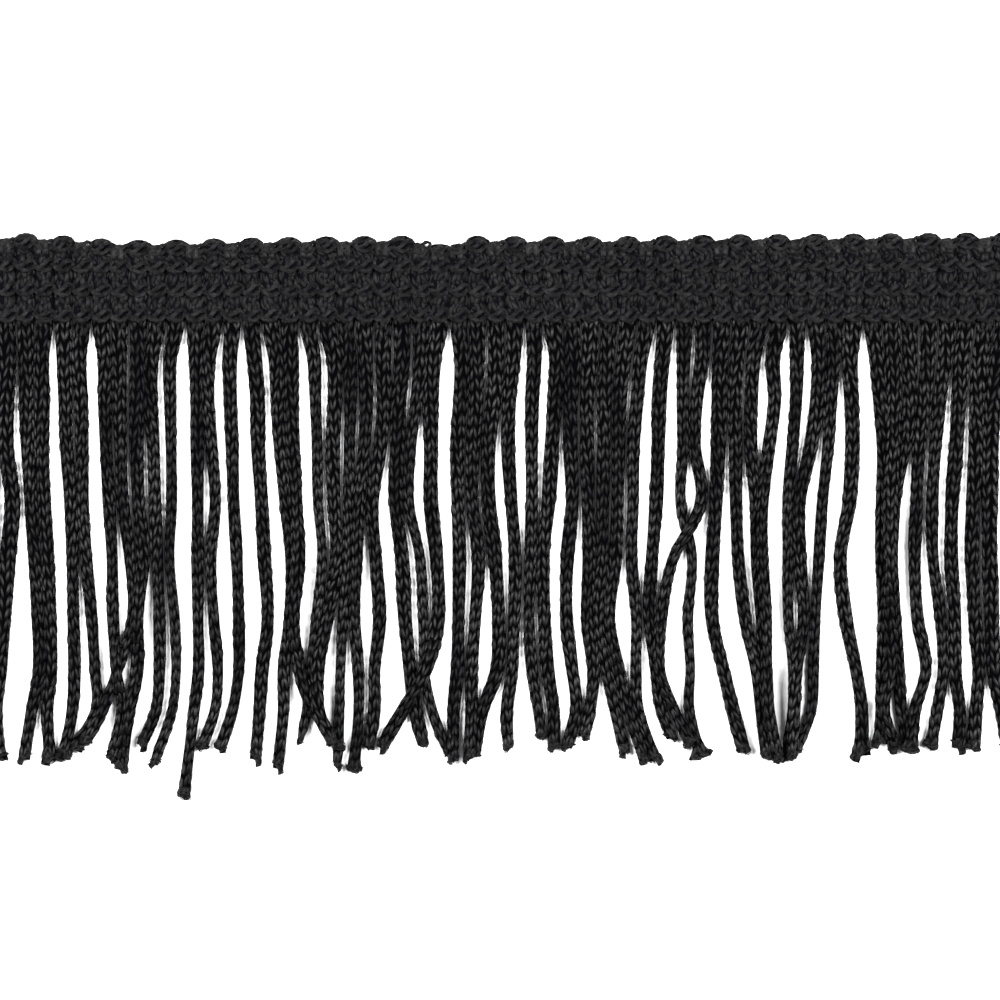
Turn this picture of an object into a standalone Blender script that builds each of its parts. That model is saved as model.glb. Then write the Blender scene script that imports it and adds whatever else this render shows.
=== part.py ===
"""Chainette fringe in black rayon: a four-inch cut, lying on its back on a level surface.

The crocheted heading lies along X with its picot edge towards +Y, the knitted strands hang towards -Y,
and +Z points up out of the surface. The origin is under the middle of the whole cut.
"""

from bisect import bisect_right
from collections import namedtuple

import bmesh
import bpy

MM = 0.001

# Driving dimensions, in millimetres
CUT_LENGTH = 101.6
STRAND_COUNT = 55
STITCH = CUT_LENGTH / STRAND_COUNT
PARTING = 0.3

# Strands: a knitted cord, drawn here as a flat-bottomed bar of four sides
STRAND_WIDTH = 1.06
STRAND_TOP_SHARE = 0.7
STRAND_HEIGHT = 0.8
SIDE_CLEARANCE = 0.06
LAYER_CLEARANCE = 0.1
STEEPEST_CLIMB = 0.45
UPPER_STRETCH = 15.0
UPPER_STEPS = 5
LOWER_STEPS = 12
KNOB_LENGTH = 1.3
KNOB_END_SHARE = 0.75
FARTHEST_CROSSING = 7 * STITCH
SAMPLE_STEP = 0.2

# How far each strand strays sideways from straight below its own stitch, in millimetres: at six depths
# below the heading's foot, and at its tip. Then its length, and the width of the fused knob at its tip.
STRAY_DEPTHS = (7.5, 17.5, 23.0, 29.0, 34.0, 38.0)
Strand = namedtuple("Strand", "at_7 at_17 at_23 at_29 at_34 at_38 tip length knob")
STRANDS = (
    #      at_7  at_17 at_23 at_29 at_34 at_38  tip  length knob
    Strand(0.1, 0.3, 0.2, 0.0, -0.1, -0.2, -0.2, 42.0, 1.3),
    Strand(0.0, 0.4, 0.0, -0.2, -0.5, -0.9, -0.3, 42.5, 1.5),
    Strand(0.1, 0.5, 0.9, 1.3, 1.2, 0.8, 0.2, 43.0, 1.3),
    Strand(0.0, 0.0, 0.3, 0.6, 0.6, 0.4, 0.3, 43.2, 1.2),
    Strand(0.3, 0.6, 0.9, 1.0, 1.2, 1.0, 0.0, 42.9, 1.2),
    Strand(-0.1, 0.1, 0.3, 1.0, 1.5, 1.3, -0.8, 42.4, 1.3),
    Strand(0.4, 0.7, 1.1, 1.2, 1.6, 1.9, 1.4, 42.8, 1.4),
    Strand(-0.1, 0.1, 1.0, 1.2, -0.2, -1.8, -3.0, 41.0, 1.1),
    Strand(-0.2, 0.0, 0.3, -0.2, -0.2, -0.8, -1.5, 43.6, 1.3),
    Strand(-0.4, -0.2, 0.0, 0.2, 0.3, 0.0, -2.0, 41.3, 1.0),
    Strand(-0.6, -0.4, -0.4, -0.1, 0.0, -0.4, -2.3, 43.2, 1.1),
    Strand(0.2, 0.3, 0.4, 0.4, 0.3, -0.1, -1.0, 46.3, 1.5),
    Strand(-0.6, 0.1, -0.2, -0.1, 0.6, 0.2, -1.4, 41.9, 1.1),
    Strand(-0.2, 0.1, 0.3, 0.7, 0.6, 0.0, -1.2, 41.7, 1.3),
    Strand(0.6, 1.0, 1.3, 1.6, 1.1, 0.8, 0.4, 42.8, 1.2),
    Strand(0.6, 1.6, 2.1, 2.2, 1.6, 1.3, 0.7, 43.7, 1.1),
    Strand(0.2, 0.7, 1.0, 0.5, 1.0, 2.6, 5.1, 41.7, 1.2),
    Strand(0.7, 1.1, 1.3, 0.8, 0.2, -0.2, -0.6, 41.2, 0.9),
    Strand(0.8, 1.0, 1.2, 0.1, -0.8, -0.7, 0.7, 41.1, 1.0),
    Strand(0.3, 0.2, 0.2, -0.1, -0.4, -0.6, -0.8, 43.5, 1.0),
    Strand(0.0, -0.6, -0.8, -1.0, -0.5, -0.5, -0.8, 43.9, 1.4),
    Strand(0.0, -1.1, -0.9, -0.3, -1.0, -0.9, -1.4, 41.9, 1.2),
    Strand(-0.1, -0.6, -0.1, 0.3, 0.7, 1.6, 2.2, 41.6, 1.0),
    Strand(-0.2, -1.2, -0.1, 0.3, 0.2, 1.3, 3.1, 42.2, 1.1),
    Strand(-0.7, -0.9, -0.2, -0.3, -1.3, -3.9, -5.6, 41.7, 1.0),
    Strand(0.2, -0.1, 0.0, 0.0, 0.0, -0.3, -0.3, 42.9, 1.1),
    Strand(-0.2, -0.6, 0.0, -0.3, -0.6, -0.7, -1.1, 42.6, 1.1),
    Strand(-0.6, -0.9, -0.2, 0.3, 0.1, -1.3, -2.3, 42.5, 1.1),
    Strand(-0.8, -0.4, 0.0, -0.1, -0.4, -0.7, -0.8, 41.7, 1.2),
    Strand(0.0, -0.2, -0.2, -0.4, -0.1, 0.6, 1.0, 40.6, 1.2),
    Strand(0.4, -0.4, -0.9, -0.7, -0.5, 0.2, 0.2, 41.9, 1.2),
    Strand(0.4, 0.2, -0.5, -0.4, 0.2, 0.2, -0.3, 41.7, 1.0),
    Strand(-0.2, -0.4, -0.1, -0.1, 0.5, -0.3, -0.7, 40.8, 1.1),
    Strand(-0.7, -0.9, -0.7, -1.0, -0.3, 0.6, 1.6, 42.2, 1.1),
    Strand(-1.1, -1.3, -1.3, -1.9, -1.0, 0.0, 1.7, 43.0, 1.3),
    Strand(-0.8, -1.3, -1.6, -0.9, -1.1, -0.9, 1.0, 42.6, 1.3),
    Strand(-0.5, -0.9, -1.4, -1.5, -0.9, -0.2, 0.6, 40.7, 1.1),
    Strand(-0.1, -0.3, 0.6, 0.3, 0.4, 0.4, 1.3, 42.5, 1.9),
    Strand(-0.7, -0.5, -3.0, -4.1, -4.1, -2.7, -1.6, 41.1, 1.0),
    Strand(-0.4, -0.6, -1.0, -0.9, 0.1, 1.2, 1.9, 42.0, 1.3),
    Strand(-0.8, -0.5, -0.3, 0.6, 1.4, 2.0, 2.3, 42.5, 1.1),
    Strand(-0.7, -0.7, -0.6, 0.0, 0.2, 0.5, 1.2, 42.8, 1.1),
    Strand(-0.4, -1.5, -1.4, -1.2, -1.1, -1.0, 0.0, 42.9, 1.1),
    Strand(-0.1, -0.9, -0.8, -0.9, -0.4, -0.7, -1.3, 42.9, 1.2),
    Strand(0.1, -1.6, -1.5, -1.3, -1.9, -2.2, -2.4, 42.6, 1.1),
    Strand(-0.4, -1.3, -1.7, -2.0, -2.3, -2.6, -3.8, 42.1, 1.1),
    Strand(-0.2, -0.4, -1.4, -0.9, 0.3, 0.8, 0.7, 42.4, 1.9),
    Strand(0.5, 0.9, 0.9, 1.2, 1.1, 0.9, 0.5, 41.0, 1.4),
    Strand(0.1, -0.2, -0.3, -0.2, -0.1, -0.4, -0.3, 41.1, 1.1),
    Strand(-0.4, -1.5, -1.9, -1.5, -1.1, -0.9, -1.0, 41.8, 1.2),
    Strand(-1.1, -1.3, -1.4, -1.1, -0.4, -1.4, -2.3, 41.7, 1.0),
    Strand(-1.1, -1.6, -1.5, -0.5, -0.5, -1.1, -2.5, 41.7, 1.0),
    Strand(-1.0, -1.4, -1.5, -1.2, -1.1, -0.9, -1.0, 41.7, 1.2),
    Strand(-1.0, -1.4, -1.3, -0.9, -0.8, -1.0, -1.2, 41.7, 1.2),
    Strand(-1.3, -1.6, -1.7, -1.5, -1.4, -0.9, 0.0, 41.7, 1.1),
)

# Foot chain: the strip that the strands grow from, with its rows from the front edge to the back
STRIP_DEPTH = 1.10
STRIP_FRONT_TOP = 1.15
STRIP_CREST_SHARE = 0.5
STRIP_CREST = 1.65
STRIP_CREST_SLIT = 1.30
STRIP_BACK_TOP = 1.25

# Heading: rows up from its parted edge, with their height above the foot, and the thickness of the
# knitting on a stitch and in the slit between two stitches. The last column moves the slits from even
# spacing, at 0, to the picots' own spacing, at 1.
Row = namedtuple("Row", "above_foot on_stitch in_slit picot_share")
HEADING_ROWS = (
    #   above stitch slit picot
    Row(STRIP_DEPTH + PARTING, 1.20, 1.10, 0.0),
    Row(1.95, 1.50, 1.30, 0.0),
    Row(2.60, 1.35, 1.20, 0.0),
    Row(3.25, 1.90, 1.45, 0.0),
    Row(3.90, 1.35, 1.20, 0.0),
    Row(4.40, 1.50, 1.30, 0.0),
    Row(4.95, 1.35, 1.20, 0.0),
    Row(5.60, 1.90, 1.45, 0.0),
    Row(6.25, 1.35, 1.20, 0.1),
    Row(6.75, 1.50, 1.30, 0.3),
    Row(7.30, 1.85, 1.35, 0.6),
)

# Picot edge: a large turn of the cord over every second strand, and a small flat one between
EDGE_ABOVE_FOOT = 7.75
LARGE_PICOT_RISE = 0.95
SMALL_PICOT_RISE = 0.30
LARGE_PICOT_HALF = 1.18
LARGE_PICOT_INNER = 0.55
SMALL_PICOT_INNER = 0.30
PICOT_CREST_SHARE = 0.6
PICOT_CREST = 1.65
PICOT_CREST_SLIT = 1.05
PICOT_LIP = 0.90
FLATTENED_PICOT = 24

# The whole picot edge sways a little: places along the heading, and how far the edge stands up there
SWAY_PLACES = (-51.0, -46.0, -36.0, -25.0, -10.0, 10.0, 25.0, 40.0, 51.0)
SWAY_RISES = (0.20, 0.25, -0.40, -0.20, 0.00, -0.05, 0.15, 0.25, 0.35)

BLACK_RAYON = (0.030, 0.030, 0.033, 1.0)
CROCHET_ROUGHNESS = 0.70
CHAINETTE_ROUGHNESS = 0.55


def smooth_value(place, places, values):
    """The value at a place on the smooth curve through a short table, level at the table's start."""
    if place <= places[0]:
        return values[0]
    if place >= places[-1]:
        return values[-1]

    def slope(i):
        if i == 0:
            return 0.0
        upper = min(i + 1, len(places) - 1)
        return (values[upper] - values[i - 1]) / (places[upper] - places[i - 1])

    i = bisect_right(places, place) - 1
    span = places[i + 1] - places[i]
    t = (place - places[i]) / span
    start_weight = 2 * t ** 3 - 3 * t ** 2 + 1
    start_slope_weight = t ** 3 - 2 * t ** 2 + t
    end_slope_weight = t ** 3 - t ** 2
    return (
        start_weight * values[i]
        + (1 - start_weight) * values[i + 1]
        + start_slope_weight * span * slope(i)
        + end_slope_weight * span * slope(i + 1)
    )


def stitch_centre(number):
    """Where a strand and its stitches lie along the heading."""
    return (number + 0.5) * STITCH - CUT_LENGTH / 2


def stray(strand, depth):
    """A strand's sideways stray at a depth below the foot."""
    depths = (0.0,) + STRAY_DEPTHS + (strand.length,)
    return smooth_value(depth, depths, (0.0,) + tuple(strand[:len(depths) - 1]))


def edge_rise(x):
    return smooth_value(x, SWAY_PLACES, SWAY_RISES)


def picot_rise(number):
    """How far the picot over a strand stands above the heading's edge."""
    if number == FLATTENED_PICOT or number % 2:
        return SMALL_PICOT_RISE
    return LARGE_PICOT_RISE


LONGEST_STRAND = max(strand.length for strand in STRANDS)
HIGHEST_PICOT = max(
    EDGE_ABOVE_FOOT + picot_rise(number) + edge_rise(stitch_centre(number)) for number in range(STRAND_COUNT)
)
FOOT_Y = (LONGEST_STRAND - HIGHEST_PICOT) / 2


def ring_depths(strand):
    """Depths of a strand's cross-sections, closer together below, where it wanders most."""
    knob_start = strand.length - KNOB_LENGTH
    lower_step = (knob_start - UPPER_STRETCH) / LOWER_STEPS
    upper = [UPPER_STRETCH * i / UPPER_STEPS for i in range(UPPER_STEPS)]
    lower = [UPPER_STRETCH + lower_step * i for i in range(LOWER_STEPS + 1)]
    return upper + lower + [strand.length - KNOB_LENGTH / 2, strand.length]


def plan_rings(number):
    """A strand seen from above: depth, centre and half width of each cross-section."""
    strand = STRANDS[number]
    depths = ring_depths(strand)
    centres = [stitch_centre(number) + stray(strand, depth) for depth in depths]
    rings = []
    for i, depth in enumerate(depths):
        before = max(i - 1, 0)
        after = min(i + 1, len(depths) - 1)
        slant = (centres[after] - centres[before]) / (depths[after] - depths[before])
        width = STRAND_WIDTH
        if i == len(depths) - 2:
            width = strand.knob
        if i == len(depths) - 1:
            width = strand.knob * KNOB_END_SHARE
        across = width / 2 * (1 + slant ** 2) ** 0.5 if i else width / 2
        rings.append((depth, centres[i], across))
    return rings


def between(rings, depth, column):
    """A column of a strand's rings, read on the straight line between two of them."""
    depths = [ring[0] for ring in rings]
    i = min(max(bisect_right(depths, depth) - 1, 0), len(rings) - 2)
    t = (depth - depths[i]) / (depths[i + 1] - depths[i])
    return rings[i][column] * (1 - t) + rings[i + 1][column] * t


def height_needed(rings, laid, depth):
    """How high a strand has to lie at a depth to pass over the strands that are already laid."""
    needed = 0.0
    for other in laid:
        if depth > other[-1][0] + SIDE_CLEARANCE:
            continue
        reached = min(depth, other[-1][0])
        gap = abs(between(rings, depth, 1) - between(other, reached, 1))
        if gap < between(rings, depth, 2) + between(other, reached, 2) + SIDE_CLEARANCE:
            needed = max(needed, between(other, reached, 3) + STRAND_HEIGHT + LAYER_CLEARANCE)
    return needed


def lay_strand(number, laid):
    """Adds a height to each ring: level on the surface, or up and over what lies there already."""
    rings = plan_rings(number)
    nearby = [other for other in laid if abs(other[0][1] - rings[0][1]) < FARTHEST_CROSSING]
    heights = [0.0] * len(rings)
    for i in range(len(rings) - 1):
        start, end = rings[i][0], rings[i + 1][0]
        steps = max(2, int((end - start) / SAMPLE_STEP))
        needed = max(height_needed(rings, nearby, start + (end - start) * s / steps) for s in range(steps + 1))
        heights[i] = max(heights[i], needed)
        heights[i + 1] = max(heights[i + 1], needed)
    for order in (range(1, len(rings)), range(len(rings) - 2, -1, -1)):
        for i in order:
            neighbour = i - 1 if order.step == 1 else i + 1
            fall = STEEPEST_CLIMB * abs(rings[i][0] - rings[neighbour][0])
            heights[i] = max(heights[i], heights[neighbour] - fall)
    return [ring + (height,) for ring, height in zip(rings, heights)]


def lay_strands():
    """Every second strand is laid first, and the ones between them settle on top where they meet."""
    laid = {}
    for first in (1, 0):
        for number in range(first, STRAND_COUNT, 2):
            laid[number] = lay_strand(number, list(laid.values()))
    return laid


def slit_columns(picot_share):
    """Places along the heading, three to a stitch: the slit before it and the two sides of its middle."""
    columns = []
    for number in range(STRAND_COUNT):
        centre = stitch_centre(number)
        large = number % 2 == 0
        picot_half = LARGE_PICOT_HALF if large else STITCH - LARGE_PICOT_HALF
        inner = LARGE_PICOT_INNER if large else SMALL_PICOT_INNER
        slit = STITCH / 2 * (1 - picot_share) + picot_half * picot_share
        side = STITCH / 6 * (1 - picot_share) + inner * picot_share
        columns += [centre - slit, centre - side, centre + side]
    columns[0] = -CUT_LENGTH / 2
    return columns + [CUT_LENGTH / 2]


def heading_rows():
    """The heading's top face: rows of (x, y, z) from its parted edge up to the picots' lip."""
    rows = []
    for row in HEADING_ROWS:
        columns = slit_columns(row.picot_share)
        thickness = [row.in_slit if i % 3 == 0 else row.on_stitch for i in range(len(columns))]
        rows.append([(x, FOOT_Y + row.above_foot, z) for x, z in zip(columns, thickness)])
    columns = slit_columns(1.0)
    edge = []
    for i, x in enumerate(columns):
        rise = 0.0 if i % 3 == 0 else picot_rise(i // 3)
        edge.append(EDGE_ABOVE_FOOT + rise + edge_rise(x))
    last = HEADING_ROWS[-1].above_foot
    crest = []
    lip = []
    for i, (x, top) in enumerate(zip(columns, edge)):
        crest_above = last + (top - last) * PICOT_CREST_SHARE
        crest_height = PICOT_CREST_SLIT if i % 3 == 0 else PICOT_CREST
        crest.append((x, FOOT_Y + crest_above, crest_height))
        lip.append((x, FOOT_Y + top, PICOT_LIP))
    return rows + [crest, lip]


def new_object(name, colour, roughness, mesh_builder):
    """An object made from a mesh in millimetres, with its own material."""
    mesh = bpy.data.meshes.new(name)
    bm = bmesh.new()
    mesh_builder(bm)
    bmesh.ops.scale(bm, vec=(MM, MM, MM), verts=bm.verts)
    bmesh.ops.recalc_face_normals(bm, faces=bm.faces)
    bm.to_mesh(mesh)
    bm.free()
    material = bpy.data.materials.new(name)
    material.use_nodes = True
    shader = material.node_tree.nodes["Principled BSDF"]
    shader.inputs["Base Color"].default_value = colour
    shader.inputs["Roughness"].default_value = roughness
    shader.inputs["Metallic"].default_value = 0.0
    mesh.materials.append(material)
    obj = bpy.data.objects.new(name, mesh)
    bpy.context.scene.collection.objects.link(obj)
    return obj


def sheet_faces(bm, rows):
    """Quads between rows of vertices."""
    for near, far in zip(rows, rows[1:]):
        for i in range(len(near) - 1):
            bm.faces.new((near[i], near[i + 1], far[i + 1], far[i]))


def build_heading(bm):
    """A ribbed sheet with a flat underside and upright cut ends."""
    rows = [[bm.verts.new(point) for point in row] for row in heading_rows()]
    floor = [[bm.verts.new((v.co.x, v.co.y, 0.0)) for v in row] for row in (rows[0], rows[-1])]
    sheet_faces(bm, rows)
    sheet_faces(bm, [rows[0], floor[0], floor[1], rows[-1]])
    for end in (0, -1):
        bm.faces.new([floor[0][end]] + [row[end] for row in rows] + [floor[1][end]])


def build_fringe(bm):
    """The foot chain, whose front face opens into one four-sided strand under each stitch."""
    laid = lay_strands()
    half = STRAND_WIDTH / 2
    columns = []
    for number in range(STRAND_COUNT):
        centre = stitch_centre(number)
        columns += [centre - STITCH / 2, centre - half, centre + half]
    columns.append(CUT_LENGTH / 2)

    def row(y, height, slit_height):
        return [
            bm.verts.new((x, y, slit_height if i % 3 == 0 else height)) for i, x in enumerate(columns)
        ]

    back_y = FOOT_Y + STRIP_DEPTH
    crest_y = FOOT_Y + STRIP_DEPTH * STRIP_CREST_SHARE
    front_floor = row(FOOT_Y, 0.0, 0.0)
    front_root = row(FOOT_Y, STRAND_HEIGHT, STRAND_HEIGHT)
    front_top = row(FOOT_Y, STRIP_FRONT_TOP, STRIP_FRONT_TOP)
    crest = row(crest_y, STRIP_CREST, STRIP_CREST_SLIT)
    back_top = row(back_y, STRIP_BACK_TOP, STRIP_BACK_TOP)
    back_floor = row(back_y, 0.0, 0.0)
    sheet_faces(bm, [front_root, front_top, crest, back_top, back_floor, front_floor])
    for i in range(len(columns) - 1):
        if i % 3 != 1:
            bm.faces.new((front_floor[i], front_floor[i + 1], front_root[i + 1], front_root[i]))
    for end in (0, -1):
        bm.faces.new(
            [loop[end] for loop in (front_floor, front_root, front_top, crest, back_top, back_floor)]
        )
    for number in range(STRAND_COUNT):
        left = 3 * number + 1
        root = (front_floor[left], front_floor[left + 1], front_root[left + 1], front_root[left])
        build_strand(bm, root, laid[number])


def build_strand(bm, root, rings):
    """One strand: bars of four sides from ring to ring, closed at the tip."""
    last = root
    for depth, centre, half, height in rings[1:]:
        y = FOOT_Y - depth
        top_half = half * STRAND_TOP_SHARE
        ring = (
            bm.verts.new((centre - half, y, height)),
            bm.verts.new((centre + half, y, height)),
            bm.verts.new((centre + top_half, y, height + STRAND_HEIGHT)),
            bm.verts.new((centre - top_half, y, height + STRAND_HEIGHT)),
        )
        for i in range(4):
            bm.faces.new((last[i], last[(i + 1) % 4], ring[(i + 1) % 4], ring[i]))
        last = ring
    bm.faces.new(last)


def main():
    for old in list(bpy.data.objects):
        bpy.data.objects.remove(old)
    new_object("heading", BLACK_RAYON, CROCHET_ROUGHNESS, build_heading)
    new_object("fringe", BLACK_RAYON, CHAINETTE_ROUGHNESS, build_fringe)


main()
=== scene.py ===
"""Looks of the chainette fringe: its knitted strands, its crocheted heading and the light that they lie in.

Lengths are in millimetres until a mesh is made, and only the floor, the lamps and the camera's reach are in
metres. A cord is one length of knitted chainette: it comes up from the tip of one strand, turns over at the
picot edge and goes down to the tip of the next. Heights above the foot are measured up the trim, from the
lower edge of the foot chain.
"""

from collections import namedtuple

import bpy
import numpy as np
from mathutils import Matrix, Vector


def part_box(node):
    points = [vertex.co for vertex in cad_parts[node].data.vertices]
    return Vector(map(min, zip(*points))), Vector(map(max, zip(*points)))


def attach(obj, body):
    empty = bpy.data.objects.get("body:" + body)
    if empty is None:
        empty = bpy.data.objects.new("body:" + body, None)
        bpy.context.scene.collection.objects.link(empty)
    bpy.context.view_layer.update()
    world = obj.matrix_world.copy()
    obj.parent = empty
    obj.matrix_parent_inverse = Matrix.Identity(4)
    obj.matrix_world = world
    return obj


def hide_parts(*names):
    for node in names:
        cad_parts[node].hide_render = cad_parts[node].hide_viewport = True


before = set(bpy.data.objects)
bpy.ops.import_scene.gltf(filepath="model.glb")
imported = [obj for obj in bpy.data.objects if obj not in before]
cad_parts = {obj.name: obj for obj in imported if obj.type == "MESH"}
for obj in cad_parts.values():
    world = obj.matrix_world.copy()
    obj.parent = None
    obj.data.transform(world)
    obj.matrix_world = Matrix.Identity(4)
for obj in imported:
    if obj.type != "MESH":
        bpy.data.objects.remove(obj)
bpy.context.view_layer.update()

MM = 0.001
TURN = 2 * np.pi
UPWARDS = np.array([0.0, 0.0, 1.0])

# Driving dimensions, in millimetres, in the solids' own frame
heading_low, heading_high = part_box("heading")
STRAND_COUNT = 55
CUT_LENGTH = (heading_high.x - heading_low.x) / MM
STITCH = CUT_LENGTH / STRAND_COUNT
STRIP_DEPTH = 1.10
PARTING = 0.3
FOOT_Y = heading_low.y / MM - PARTING - STRIP_DEPTH

# Spacing of the points of a strand's line, and a height further from the foot than any stitch is
STEP = 0.2
FAR = 100.0
# Each tube of yarn starts somewhere in this length of its pattern, so that no two match
MAP_STRETCH = 97.0

# Places of the materials in a piece's list
YARN = 0
# The painted shade of a cord's hollow
HOLLOW = 1
FUSED = 2

# The photograph's frame: how much it spans at the height of the fringe's face, and the middle of it
FRAME_WIDTH = 98.0
FACE_HEIGHT = 1.0
FRAME_MIDDLE = (0.39, 1.28)
LENS = 100.0
SENSOR = 36.0
# The nearest and farthest that the camera sees, in metres
NEAREST = 0.01
FARTHEST = 10.0

# Studio, in metres and watts: white all round, and a level softbox above each side of the fringe
SURROUND_STRENGTH = 0.26
SOFTBOX_ASIDE = 0.315
SOFTBOX_FORWARD = 0.06
SOFTBOX_HEIGHT = 0.42
SOFTBOX_SIZE = (0.336, 0.14)
SOFTBOX_POWER = 6.6
FLOOR_HALF_WIDTH = 0.6

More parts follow.
